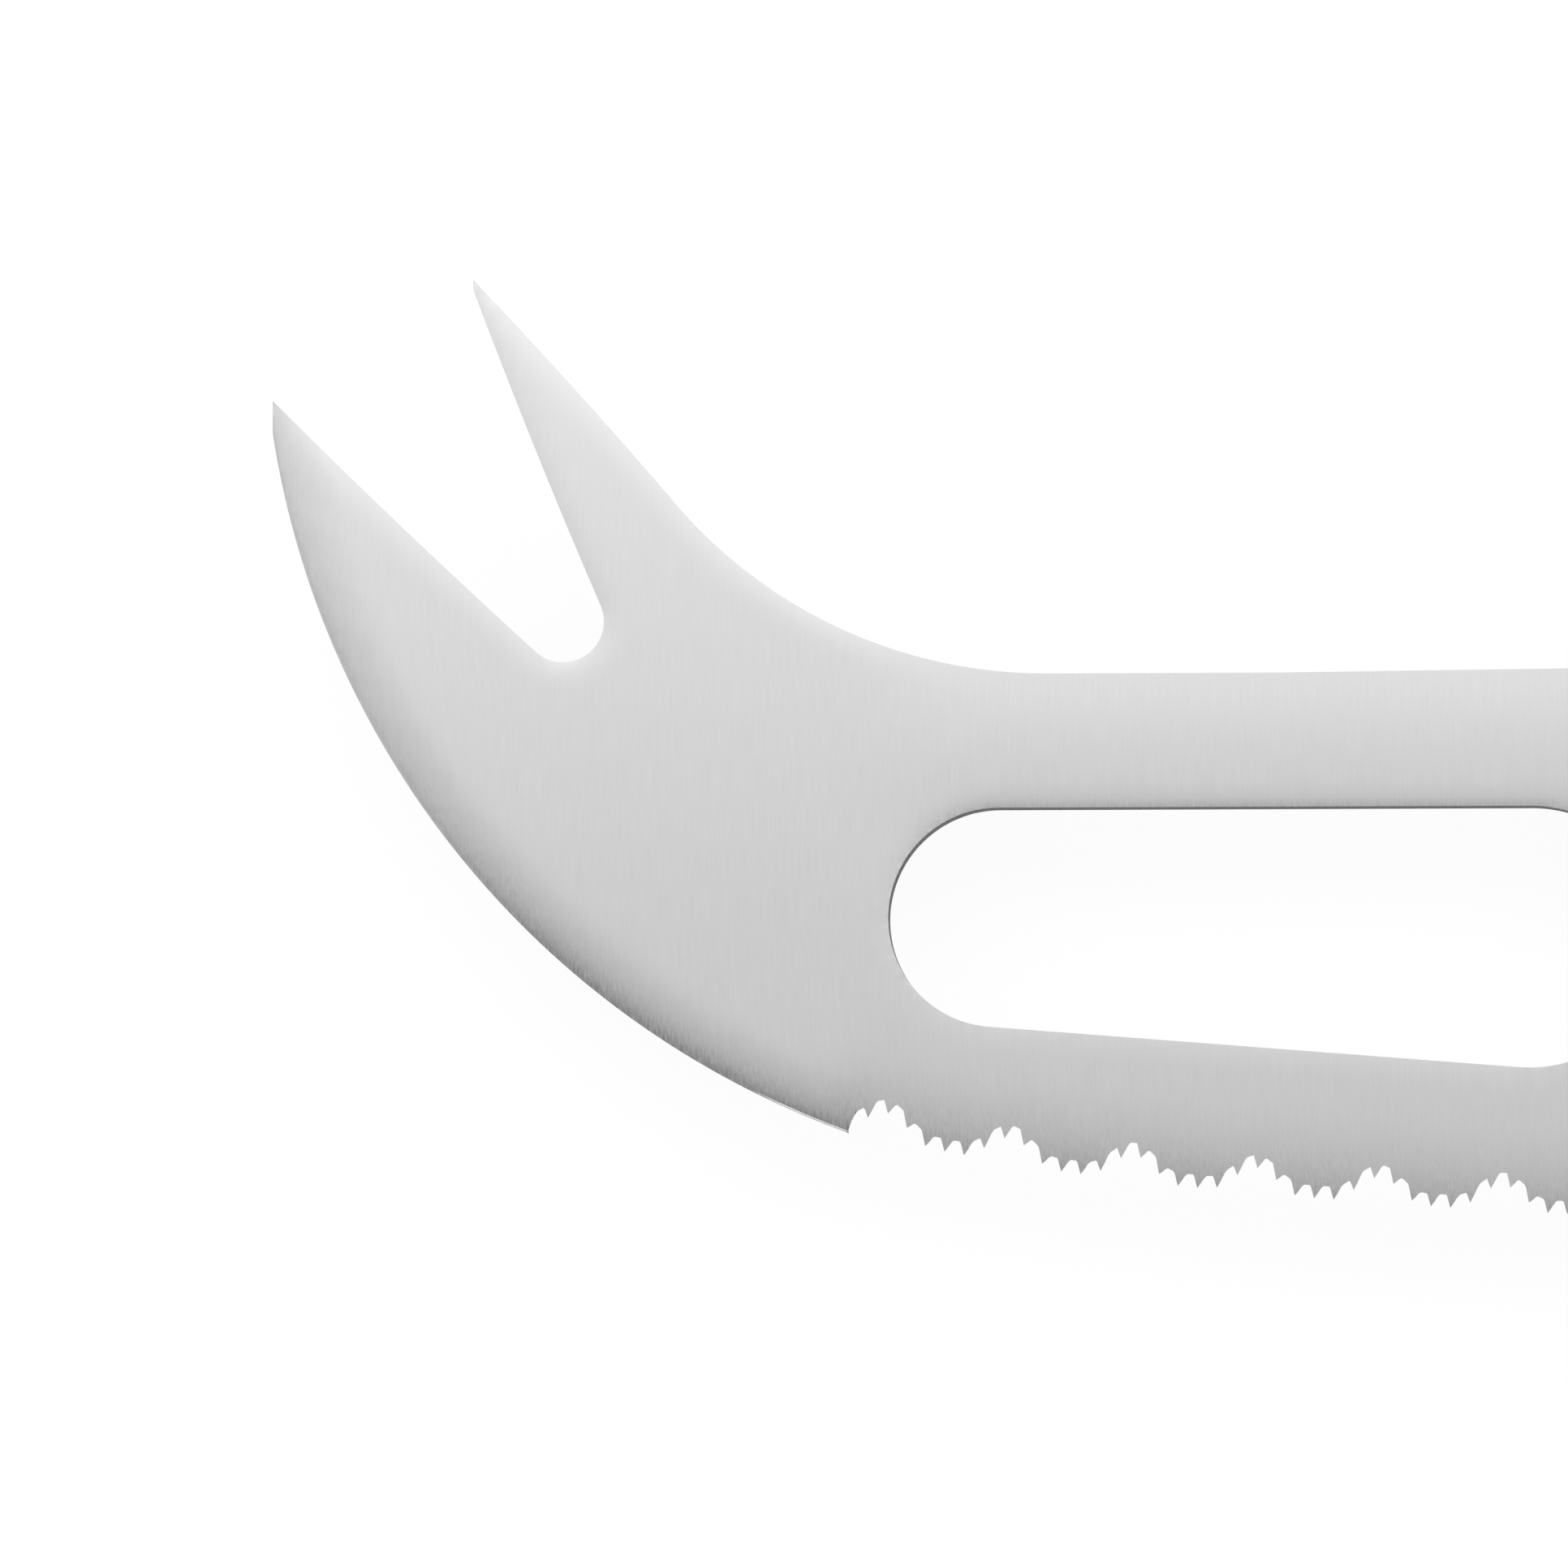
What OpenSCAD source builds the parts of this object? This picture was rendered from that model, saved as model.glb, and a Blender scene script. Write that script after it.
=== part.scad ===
// Cheese knife with a forked tip, two windows and a double-serrated edge.
// The knife lies on its right side, with the tip towards -X, the spine towards +Y and the left side up.
// Inside the modules, x runs back from the lower tine's tip, y is the height over the spine line,
// and z is the distance from the middle of the steel sheet. at_rest() moves that to the resting place.

/* [Steel sheet] */
// Thickness of the sheet that blade and tang are cut from
sheet_t = 2; // [1.6:0.1:2.6]
// Thickness that the side grind leaves at the serrated edge
edge_t = 1; // [0.7:0.05:1.3]
// How far below the spine the side grind starts
grind_start = 8.3; // [5:0.1:12]

/* [Forked tip] */
// Height of the lower tine's tip over the spine
low_tine_h = 17.05; // [13:0.05:21]
// Height of the narrow flat that blunts the lower tine's tip
low_tine_flat = 2; // [1:0.1:3]
// Distance of the upper tine's tip behind the lower one
high_tine_x = 12.35; // [10:0.05:15]
// Height of the upper tine's tip over the spine
high_tine_h = 24.45; // [20:0.05:30]
// Height of the narrow flat that blunts the upper tine's tip
high_tine_flat = 0.6; // [0.3:0.1:1]
// Slope of the upper tine's back, in degrees
tine_back_slope = 48; // [40:1:56]
// Radius of the sweep from the upper tine's back into the spine
spine_sweep_r = 30.1; // [24:0.1:36]
// Distance of the round bottom of the fork behind the lower tine's tip
fork_x = 18; // [15:0.1:21]
// Height of the round bottom's centre over the spine
fork_h = 3.3; // [2.6:0.1:4]
// Radius of the round bottom of the fork
fork_r = 2.5; // [2:0.05:3]
// How far the tines' straight-looking edges are hollowed or crowned at their middle
tine_bow = 0.13; // [0:0.01:0.25]

/* [Belly] */
// Radius of the plain convex edge
belly_r = 55.2; // [46:0.05:68]
// Distance behind the tip at which the plain edge ends and the teeth start
corner_x = 35.55; // [29:0.05:43]
// Depth below the spine of the corner where the plain edge ends
corner_depth = 28.15; // [23:0.05:34]
// Width over which both faces round off towards the plain edge
bevel_w = 3.2; // [2:0.1:4]
// Width of the fine bevel along the plain edge
fine_bevel_w = 0.15; // [0.1:0.05:0.3]
// Thickness of the blade at the corner where the fine bevel starts
fine_bevel_t = 0.4; // [0.3:0.05:0.6]
// Thickness left at the corner by the fine bevel
plain_edge_t = 0.12; // [0.08:0.02:0.2]

/* [Serrated edge] */
// Depth of the edge below the spine at the heel
edge_depth = 34.7; // [30:0.1:42]
// Depth at which the line of the tooth tips starts, at the corner
first_tip_depth = 27.6; // [23:0.1:33]
// Distance from tooth to tooth
tooth_pitch = 1.195; // [1:0.005:1.5]
// Depth of the small teeth
tooth_depth = 0.83; // [0.5:0.01:0.95]
// Distance from scallop to scallop
scallop_pitch = 7.56; // [6:0.005:9.5]
// Width of one scallop
scallop_w = 5.75; // [4.6:0.05:7]
// Depth of the scallops
scallop_depth = 1.62; // [1.2:0.02:2]
// Distance of the first scallop's middle behind the corner
scallop_lead = 2.37; // [1.9:0.01:2.9]
// How far the teeth and scallops lean towards the heel, in degrees
tooth_lean = 4; // [0:0.5:10]
// Angle between the ground flutes and the sheet, in degrees
flute_angle = 20; // [15:1:28]
// Length of plain edge left in front of the heel
plain_heel = 2.2; // [1.6:0.1:3]

/* [Windows] */
// Length of the solid nose in front of the first window
nose_len = 38.05; // [34:0.05:46]
// Height of the strip between spine and windows
top_strip_h = 8.25; // [6.8:0.05:10]
// Length of the front window
front_window_len = 47.5; // [39:0.1:57]
// Radius of the front window's front end
front_window_nose_r = 6.75; // [5.6:0.05:8]
// Radius of the front window's rear end
front_window_heel_r = 8.05; // [6.6:0.05:9.5]
// Width of the strut between the windows
strut_w = 4.5; // [3.5:0.1:6]
// Length of the rear window
rear_window_len = 37; // [30:0.1:45]
// Radius of the rear window's front end
rear_window_nose_r = 8.35; // [6.8:0.05:10]
// Radius of the rear window's rear end
rear_window_heel_r = 8.6; // [7:0.05:10.3]

/* [Heel] */
// Width of the wall between the rear window and the heel
heel_wall = 5; // [4:0.1:6.5]
// Radius of the sweep from the heel up to the handle
heel_sweep_r = 9; // [7:0.1:11]
// Length of bare full-thickness steel in front of the bolster
ricasso_len = 1.5; // [1:0.1:2.5]
// Distance behind the heel at which the side grind ends
grind_runout = 2; // [1.5:0.1:3]
// Distance behind the tip at which the spine starts to rise
spine_rise_x = 62; // [50:0.5:75]
// Rise of the spine up to the bolster
spine_rise = 0.85; // [0.6:0.05:1.1]

/* [Handle] */
// Length of the handle with its bolster
handle_len = 118; // [100:1:140]
// Height of the handle at the palm swell
handle_h = 24.5; // [21:0.1:29]
// Thickness over both scales
handle_t = 18; // [16:0.1:21]
// Rise of the handle's back at its middle
back_arch = 2; // [1:0.1:3]
// Drop of the handle's back at the butt
butt_drop = 3; // [2:0.1:4.5]
// Radius of the handle's long edges
grip_round = 6.4; // [5:0.1:7.5]
// Radius of the butt's corners, seen from the side
butt_round = 9; // [7:0.1:10.5]
// Radius of the butt's edge, seen from above
butt_edge_round = 3; // [2:0.1:4]

/* [Bolster] */
// Length of the bolster
bolster_len = 15; // [13:0.1:18]
// Thickness over both cheeks where they meet the blade
bolster_front_t = 7; // [6:0.1:9]
// Length over which the cheeks swell to the handle's thickness
bolster_swell_len = 9; // [7.5:0.1:10.5]
// Diameter of the bolster pins
pin_d = 2.5; // [2:0.1:3]
// Distance between the bolster pins
pin_spacing = 6; // [5:0.1:7]

/* [Rivets] */
// Diameter of the rivet heads
rivet_head_d = 7; // [6:0.1:8.2]
// Thickness of the rivet heads
rivet_head_t = 1.8; // [1.4:0.1:2.2]
// Outer diameter of the female rivet's tube
rivet_tube_d = 4.6; // [4.2:0.1:5.4]
// Diameter of the male rivet's shank
rivet_shank_d = 3; // [2.4:0.1:3.4]
// Distance from the bolster to the front rivet
front_rivet_x = 15; // [12:0.5:20]
// Distance from the butt to the rear rivet
rear_rivet_x = 19; // [15:0.5:24]
// Radial clearance of pins and rivets in their holes
fit = 0.03; // [0.02:0.005:0.05]
// Gap between the end of a rivet's inner part and the head it points at
end_gap = 0.4; // [0.2:0.05:0.6]

/* [Hidden] */
$fn = 96;

// Overrun of every cut past the face that it opens
over = 2;

// Shape of one small tooth: place along the pitch and depth, as shares of pitch and depth.
// A tooth has a long front flank, a broad root behind its middle and a steep rear flank.
tooth_shares = [[0, 0], [0.16, 0.37], [0.34, 0.85], [0.45, 1], [0.77, 1], [0.88, 0.52]];
// How the edge line falls from the corner to the heel: the part that follows a parabola, and
// the power of the part that turns down close to the corner
edge_parabola_share = 0.674;
edge_corner_power = 8;
// How far in front of the corner the belly's bevel ends, as a share of the tooth pitch
bevel_stop_share = 0.04;
// Height of the handle along its length: place and height, as shares of its length and height
grip_height_shares = [[0, 0.93], [0.2, 0.88], [0.56, 1], [0.83, 0.935], [1, 1.02]];
// Most of a cheek's or scale's thickness that its round edge may take
round_share = 0.82;
// Most of the handle's height that one round edge may take
round_height_share = 0.42;

// Places along the knife, from the lower tine's tip
front_window_end = nose_len + front_window_len;
rear_window_x = front_window_end + strut_w;
rear_window_end = rear_window_x + rear_window_len;
heel_x = rear_window_end + heel_wall;
bolster_x = heel_x + heel_sweep_r + ricasso_len;
butt_x = bolster_x + handle_len;
scale_x = bolster_x + bolster_len;
pin_x = bolster_x + (bolster_swell_len + bolster_len) / 2;
rivet_front_x = scale_x + front_rivet_x;
rivet_rear_x = butt_x - rear_rivet_x;
rivet_middle_x = (rivet_front_x + rivet_rear_x) / 2;

// Sheet, edge and overall sizes
sheet_z = sheet_t / 2;
edge_z = edge_t / 2;
side_z = handle_t / 2;
head_floor_z = side_z - rivet_head_t;
blank_depth = edge_depth + over;
grind_slope = (sheet_z - edge_z) / (edge_depth - grind_start);
grind_angle = atan(grind_slope);
corner_z = sheet_z - grind_slope * (corner_depth - grind_start);
bevel_drop = corner_z - fine_bevel_t / 2;
fine_bevel_drop = (fine_bevel_t - plain_edge_t) / 2;

// Number of parts that the curves of the lofted grips are drawn with
round_steps = 8;
grip_steps = 26;
cheek_steps = 12;
butt_steps = 9;
bevel_steps = 6;
bow_steps = 8;

// Centre of the belly's arc, which passes through the lower tine's flat and the corner
belly_start = [0, low_tine_h - low_tine_flat];
belly_stop = [corner_x, -corner_depth];
belly_chord = belly_stop - belly_start;
belly_mid = (belly_start + belly_stop) / 2;
belly_reach = sqrt(belly_r * belly_r - belly_chord * belly_chord / 4);
belly_centre = belly_mid + belly_reach / norm(belly_chord) * [-belly_chord[1], belly_chord[0]];

// The sweep between the upper tine's back and the spine touches both
sweep_touch = spine_sweep_r * tan(tine_back_slope / 2);
sweep_corner_x = high_tine_x + high_tine_h / tan(tine_back_slope);
sweep_x = sweep_corner_x + sweep_touch;
sweep_start = [
    sweep_corner_x - sweep_touch * cos(tine_back_slope),
    sweep_touch * sin(tine_back_slope)
];

// The fork's inner edges touch its round bottom
fork_centre = [fork_x, fork_h];
low_tip = [0, low_tine_h];
high_tip = [high_tine_x, high_tine_h];
high_tip_inner = [high_tine_x, high_tine_h - high_tine_flat];
fork_low_touch = touch_point(low_tip, fork_centre, fork_r, -1);
fork_high_touch = touch_point(high_tip_inner, fork_centre, fork_r, 1);

// Where a line from p touches the circle at c with radius r, on its left (side 1) or right (side -1)
function touch_point(p, c, r, side) =
    let (to = p - c, turn = side * acos(r / norm(to)), a = atan2(to[1], to[0]) - turn)
    c + r * [cos(a), sin(a)];

// Points of an edge from a to b that bows out to the left of that way by bow at its middle
function bowed(a, b, bow) =
    let (way = (b - a) / norm(b - a), out = [-way[1], way[0]])
    [for (i = [0 : bow_steps]) let (t = i / bow_steps) a + (b - a) * t + 4 * bow * t * (1 - t) * out];

// Line of the tooth tips: flat at the heel, and steeper towards the corner
function tip_line(x) =
    let (u = (heel_x - x) / (heel_x - corner_x), rise = edge_depth - first_tip_depth)
    -edge_depth + rise * (edge_parabola_share * pow(u, 2)
        + (1 - edge_parabola_share) * pow(u, edge_corner_power));

// Height that the scallops add to the edge at x
function scallop(x) =
    let (from_first = x - corner_x - scallop_lead,
        off = from_first - scallop_pitch * round(from_first / scallop_pitch),
        t = min(1, abs(off) / (scallop_w / 2)))
    scallop_depth * (1 + cos(180 * t)) / 2;

function edge_y(x) = tip_line(x) + scallop(x);

// Spine and handle outline
function eased(table, s, i = 0) =
    (i + 2 < len(table) && s > table[i + 1][0]) ? eased(table, s, i + 1)
    : let (t = (s - table[i][0]) / (table[i + 1][0] - table[i][0]))
      table[i][1] + (table[i + 1][1] - table[i][1]) * (1 - cos(180 * t)) / 2;

function past(x, r) = max(0, x - (butt_x - r));
function rounding(x, r) = r - sqrt(max(0, r * r - pow(past(x, r), 2)));

function grip_share(x) = (x - bolster_x) / handle_len;
function back_line(x) =
    let (s = grip_share(x))
    spine_rise + back_arch * sin(180 * s) - butt_drop * s * s;
function grip_top(x) = back_line(x) - rounding(x, butt_round);
function grip_bottom(x) =
    back_line(x) - handle_h * eased(grip_height_shares, grip_share(x)) + rounding(x, butt_round);

heel_sweep_centre = [heel_x + heel_sweep_r, grip_bottom(bolster_x) - heel_sweep_r];

// Distance of a cheek's or scale's outer face from the middle of the sheet
function outer_z(x) =
    let (t = min(1, (x - bolster_x) / bolster_swell_len), front_z = bolster_front_t / 2)
    front_z + (side_z - front_z) * sin(90 * t) - rounding(x, butt_edge_round);

// Places along the cheeks and the scales at which their sections are drawn
function steps(from, to, n) = [for (i = [0 : n - 1]) from + (to - from) * i / n];
cheek_places = concat(steps(bolster_x, bolster_x + bolster_swell_len, cheek_steps),
    [bolster_x + bolster_swell_len, scale_x]);
scale_places = concat(steps(scale_x, butt_x - butt_round, grip_steps),
    [for (i = [0 : butt_steps]) butt_x - butt_round + butt_round * sin(90 * i / butt_steps)]);

// Half section of the grip at x, from the lower edge of the sheet's face to the upper one
function section(x) =
    let (top = grip_top(x), low = grip_bottom(x), z = outer_z(x),
        r = min(grip_round, (z - sheet_z) * round_share, (top - low) * round_height_share))
    concat(
        [[x, low, sheet_z]],
        [for (i = [0 : round_steps]) let (a = 90 * i / round_steps)
            [x, low + r - r * cos(a), z - r + r * sin(a)]],
        [for (i = [0 : round_steps]) let (a = 90 * i / round_steps)
            [x, top - r + r * sin(a), z - r + r * cos(a)]],
        [[x, top, sheet_z]]);

// From the modules' places to the knife lying on its right side, centred over the origin
module at_rest() {
    translate([-butt_x / 2, (edge_depth - high_tine_h) / 2, side_z]) children();
}

// Closed solid through one section after another
module loft(places) {
    rings = [for (x = places) section(x)];
    n = len(rings[0]);
    last = len(rings) - 1;
    points = [for (ring = rings) each ring];
    sides = [for (i = [0 : last - 1], j = [0 : n - 1])
        let (a = i * n + j, b = i * n + (j + 1) % n)
        each [[a, a + n, b + n], [a, b + n, b]]];
    front_cap = [for (j = [0 : n - 1]) j];
    rear_cap = [for (j = [n - 1 : -1 : 0]) last * n + j];
    polyhedron(points, concat([front_cap, rear_cap], sides), convexity = 4);
}

// Slot with two round ends and a straight top edge, closed below by the line that touches both ends
module window(front, end, nose_r, heel_r) {
    nose = [front + nose_r, -top_strip_h - nose_r];
    heel = [end - heel_r, -top_strip_h - heel_r];
    slope = 2 * asin((heel_r - nose_r) / norm(heel - nose));
    down = [-sin(slope), -cos(slope)];
    up = [0, 1];
    translate(nose) circle(r = nose_r);
    translate(heel) circle(r = heel_r);
    polygon([nose + nose_r * up, heel + heel_r * up, heel + heel_r * down, nose + nose_r * down]);
}

module windows() {
    window(nose_len, front_window_end, front_window_nose_r, front_window_heel_r);
    window(rear_window_x, rear_window_end, rear_window_nose_r, rear_window_heel_r);
}

// Waste in front of and under the plain convex edge, running on under the first teeth
module belly_waste() {
    difference() {
        translate([-over, -blank_depth - over])
            square([corner_x + 2 * over, blank_depth + over + low_tine_h]);
        translate(belly_centre) circle(r = belly_r);
    }
}

module tang_holes() {
    for (x = [rivet_front_x, rivet_middle_x, rivet_rear_x])
        translate([x, rivet_y(x)]) circle(d = rivet_tube_d + 2 * fit);
    for (y = pin_ys)
        translate([pin_x, y]) circle(d = pin_d + 2 * fit);
}

// Side view of blade and tang, with the teeth still to be ground
module sheet_outline() {
    grip_places = concat(cheek_places, [for (i = [1 : len(scale_places) - 1]) scale_places[i]]);
    last = len(grip_places) - 1;
    difference() {
        polygon(concat(
            [low_tip, [0, -blank_depth], [heel_x, -blank_depth], [heel_x, heel_sweep_centre[1]]],
            [[heel_sweep_centre[0], grip_bottom(bolster_x)]],
            [for (x = grip_places) [x, grip_bottom(x)]],
            [for (i = [last : -1 : 0]) [grip_places[i], grip_top(grip_places[i])]],
            [[spine_rise_x, 0], [sweep_x, 0]],
            bowed(sweep_start, high_tip, -tine_bow),
            bowed(high_tip_inner, fork_high_touch, -tine_bow),
            bowed(fork_low_touch, low_tip, tine_bow)));
        belly_waste();
        translate([sweep_x, spine_sweep_r]) circle(r = spine_sweep_r);
        translate(fork_centre) circle(r = fork_r);
        translate(heel_sweep_centre) circle(r = heel_sweep_r);
        windows();
        tang_holes();
    }
}

// What the side grind takes off the left face, from the windows' top edge to the teeth
module side_grind() {
    low_z = edge_z - grind_slope * 2 * over;
    translate([-over, 0, 0]) rotate([90, 0, 90]) linear_extrude(height = heel_x + grind_runout + over)
        polygon([
            [-grind_start, sheet_z], [-grind_start, sheet_z + over],
            [-blank_depth - over, sheet_z + over], [-blank_depth - over, low_z]
        ]);
}

// What comes off an unground face along the plain edge: it leaves the face without a crease, falls
// more and more steeply, and ends in the fine bevel, which runs on past the edge
module belly_round() {
    blend = [for (i = [0 : bevel_steps]) let (s = i / bevel_steps)
        [belly_r - bevel_w + (bevel_w - fine_bevel_w) * s, sheet_z - bevel_drop * s * s]];
    overrun_drop = bevel_drop + fine_bevel_drop * (1 + over / fine_bevel_w);
    translate(belly_centre) rotate_extrude() polygon(concat(blend, [
        [belly_r + over, sheet_z - overrun_drop],
        [belly_r + over, sheet_z + over], [belly_r - bevel_w, sheet_z + over]
    ]));
}

// The bevel of the plain edge on the left face, up to the corner and between two depths below the
// spine, leaning by the given angle about the line where the side grind starts
module belly_bevel(from, to, lean) {
    end_x = corner_x - tooth_pitch * bevel_stop_share;
    intersection() {
        translate([0, -grind_start, sheet_z]) rotate([lean, 0, 0])
            translate([0, grind_start, -sheet_z]) belly_round();
        translate([-over, -to, -over]) cube([end_x + over, to - from, sheet_t + 2 * over]);
    }
}

// The whole bevel of the left face: level beside the tine, and leaning with the side grind below
module left_bevel() {
    belly_bevel(-low_tine_h, grind_start, 0);
    belly_bevel(grind_start, blank_depth, grind_angle);
}

// What the grinding wheel takes off below the teeth: the edge line, swept up through the sheet from
// the left face at the flute angle, so that the flutes show on the right side only
module edge_grind() {
    teeth = floor((heel_x - plain_heel - corner_x) / tooth_pitch);
    end_x = corner_x + teeth * tooth_pitch;
    // Puts the first tooth's flank through the corner of the left face
    first_y = (corner_z - edge_z) / tan(flute_angle) - corner_depth;
    line = concat(
        [[corner_x, first_y]],
        [for (k = [0 : teeth - 1], p = tooth_shares)
            let (x = corner_x + (k + p[0]) * tooth_pitch, y = edge_y(x) + tooth_depth * p[1])
            if (x > corner_x) [x + tan(tooth_lean) * (y - tip_line(x)), y]],
        [[end_x, tip_line(end_x)], [heel_x + over, -edge_depth]]);
    drop = -over - sheet_t;
    translate([0, -edge_depth, edge_z]) rotate([90 - flute_angle, 0, 0])
        translate([0, 0, -edge_depth]) linear_extrude(height = edge_depth + 2 * over)
            polygon(concat(
                [[corner_x, drop]],
                [for (p = line) [p[0], (p[1] + edge_depth) * sin(flute_angle)]],
                [[heel_x + over, drop]]));
}

// Blade and tang in one piece
module blade() {
    color([0.78, 0.78, 0.78]) at_rest() difference() {
        translate([0, 0, -sheet_z]) linear_extrude(height = sheet_t) sheet_outline();
        side_grind();
        mirror([0, 0, 1]) side_grind();
        left_bevel();
        mirror([0, 0, 1]) left_bevel();
        edge_grind();
    }
}

// Middle of the handle's height at x, where its rivets and pins sit
function rivet_y(x) = (grip_top(x) + grip_bottom(x)) / 2;
pin_ys = [rivet_y(pin_x) - pin_spacing / 2, rivet_y(pin_x) + pin_spacing / 2];

// Left cheek of the bolster
module bolster_cheek() {
    difference() {
        loft(cheek_places);
        for (y = pin_ys)
            translate([pin_x, y, 0]) cylinder(d = pin_d + 2 * fit, h = side_z + over);
    }
}

module bolster_left() {
    color([0.72, 0.72, 0.72]) at_rest() bolster_cheek();
}

module bolster_right() {
    color([0.72, 0.72, 0.72]) at_rest() mirror([0, 0, 1]) bolster_cheek();
}

module bolster_pins() {
    color([0.75, 0.75, 0.75]) at_rest() for (y = pin_ys)
        translate([pin_x, y, -side_z]) cylinder(d = pin_d, h = handle_t);
}

// Left handle scale, drilled for the rivet tubes and counterbored for the rivet heads
module handle_scale() {
    difference() {
        loft(scale_places);
        for (x = [rivet_front_x, rivet_middle_x, rivet_rear_x]) translate([x, rivet_y(x), 0]) {
            cylinder(d = rivet_tube_d + 2 * fit, h = side_z + over);
            translate([0, 0, head_floor_z]) cylinder(d = rivet_head_d + 2 * fit, h = rivet_head_t + over);
        }
    }
}

module scale_left() {
    color([0.07, 0.07, 0.07]) at_rest() handle_scale();
}

module scale_right() {
    color([0.07, 0.07, 0.07]) at_rest() mirror([0, 0, 1]) handle_scale();
}

// Male half of a rivet, put in from the right side: a head and a solid shank
module rivet_male(x) {
    color([0.75, 0.75, 0.75]) at_rest() translate([x, rivet_y(x), -side_z]) {
        cylinder(d = rivet_head_d, h = rivet_head_t);
        cylinder(d = rivet_shank_d, h = handle_t - rivet_head_t - end_gap);
    }
}

// Female half of a rivet, put in from the left side: a head and a tube
module rivet_female(x) {
    color([0.75, 0.75, 0.75]) at_rest() translate([x, rivet_y(x), 0]) difference() {
        union() {
            translate([0, 0, head_floor_z]) cylinder(d = rivet_head_d, h = rivet_head_t);
            translate([0, 0, end_gap - head_floor_z])
                cylinder(d = rivet_tube_d, h = 2 * head_floor_z - end_gap);
        }
        translate([0, 0, -head_floor_z]) cylinder(d = rivet_shank_d + 2 * fit, h = 2 * head_floor_z);
    }
}

blade();
bolster_left();
bolster_right();
bolster_pins();
scale_left();
scale_right();
rivet_male(rivet_front_x);  // rivet_front_male
rivet_female(rivet_front_x);  // rivet_front_female
rivet_male(rivet_middle_x);  // rivet_middle_male
rivet_female(rivet_middle_x);  // rivet_middle_female
rivet_male(rivet_rear_x);  // rivet_rear_male
rivet_female(rivet_rear_x);  // rivet_rear_female
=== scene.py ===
"""Finish and studio for a cheese knife: satin blade, steel bolster, rivets and black handle scales."""

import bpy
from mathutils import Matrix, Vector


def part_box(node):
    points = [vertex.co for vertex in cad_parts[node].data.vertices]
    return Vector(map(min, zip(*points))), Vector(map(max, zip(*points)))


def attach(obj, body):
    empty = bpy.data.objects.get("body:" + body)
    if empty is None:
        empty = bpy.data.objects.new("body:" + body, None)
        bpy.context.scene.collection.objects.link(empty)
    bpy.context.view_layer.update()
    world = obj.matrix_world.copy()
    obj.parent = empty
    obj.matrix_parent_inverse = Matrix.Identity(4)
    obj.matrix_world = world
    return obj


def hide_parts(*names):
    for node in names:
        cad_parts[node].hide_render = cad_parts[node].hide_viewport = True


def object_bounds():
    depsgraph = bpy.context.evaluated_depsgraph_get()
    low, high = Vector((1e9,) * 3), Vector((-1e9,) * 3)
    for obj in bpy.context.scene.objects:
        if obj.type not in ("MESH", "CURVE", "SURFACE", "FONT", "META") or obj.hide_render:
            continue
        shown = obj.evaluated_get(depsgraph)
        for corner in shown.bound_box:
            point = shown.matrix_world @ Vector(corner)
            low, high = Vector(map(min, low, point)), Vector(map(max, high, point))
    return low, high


bl_info = {
    "name": "Cheese knife finish",
    "version": (1, 0, 0),
    "blender": (4, 5, 0),
    "location": "View3D > Sidebar > Knife",
    "description": "Dresses the packed cheese knife in steel and black plastic, and sets up its studio",
    "category": "Object",
}

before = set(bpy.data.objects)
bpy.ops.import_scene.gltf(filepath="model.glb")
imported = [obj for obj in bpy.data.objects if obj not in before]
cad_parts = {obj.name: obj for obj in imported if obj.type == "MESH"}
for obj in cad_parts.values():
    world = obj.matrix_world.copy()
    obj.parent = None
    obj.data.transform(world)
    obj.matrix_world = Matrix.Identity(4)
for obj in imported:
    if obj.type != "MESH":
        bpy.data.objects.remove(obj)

from math import exp, hypot, pi, radians

import bmesh
import bpy
from bpy.props import FloatProperty, FloatVectorProperty, PointerProperty
from mathutils import Vector
from mathutils.bvhtree import BVHTree

CAD_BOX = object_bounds()
BODY = "root"
MM = 0.001

# Places on the knife that the blade's finish follows, in metres
BLADE_LOW, BLADE_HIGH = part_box("blade")
TIP_X = BLADE_LOW.x
BOLSTER_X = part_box("bolster_left")[0].x
SHEET_MID_Z = (BLADE_LOW.z + BLADE_HIGH.z) / 2
HALF_SHEET = (BLADE_HIGH.z - BLADE_LOW.z) / 2
UPPER_TINE_HEIGHT = 24.45 * MM
SPINE_Y = BLADE_HIGH.y - UPPER_TINE_HEIGHT
UPPER_TIP = Vector((TIP_X + 12.35 * MM, BLADE_HIGH.y))
TIP_REACH = 1 * MM

# The plain convex edge: an arc from the lower tine to the corner where the teeth start
BELLY_RADIUS = 55.2 * MM
BELLY_START = Vector((TIP_X, SPINE_Y + 15.05 * MM))
CORNER = Vector((TIP_X + 35.55 * MM, SPINE_Y - 28.15 * MM))
EDGE_BLEND = (CORNER.x - 1.5 * MM, CORNER.x + 1.5 * MM)

# Its bevels: their widths, how far the face falls on the wide one, and where they end before the corner
FINE_BEVEL = 0.17 * MM
BEVEL_WIDTH = 3.2 * MM
BEVEL_DROP = 0.424 * MM
BEVEL_END_X = CORNER.x - 0.05 * MM

# The line of the tooth tips, from the corner to the heel
HEEL = Vector((TIP_X + 132.05 * MM, SPINE_Y - 34.7 * MM))
FIRST_TIP_Y = SPINE_Y - 27.6 * MM
TIP_LINE_PARABOLA = 0.674
TIP_LINE_POWER = 8
TOOTH_BAND = 3.2 * MM
TEETH_SPAN = (CORNER.x - 0.1 * MM, HEEL.x + 0.5 * MM)

# Bends and lengths from which on an edge between two flutes is taken as a valley
VALLEY_ANGLE = radians(8)
VALLEY_LENGTH = 1 * MM

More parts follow.
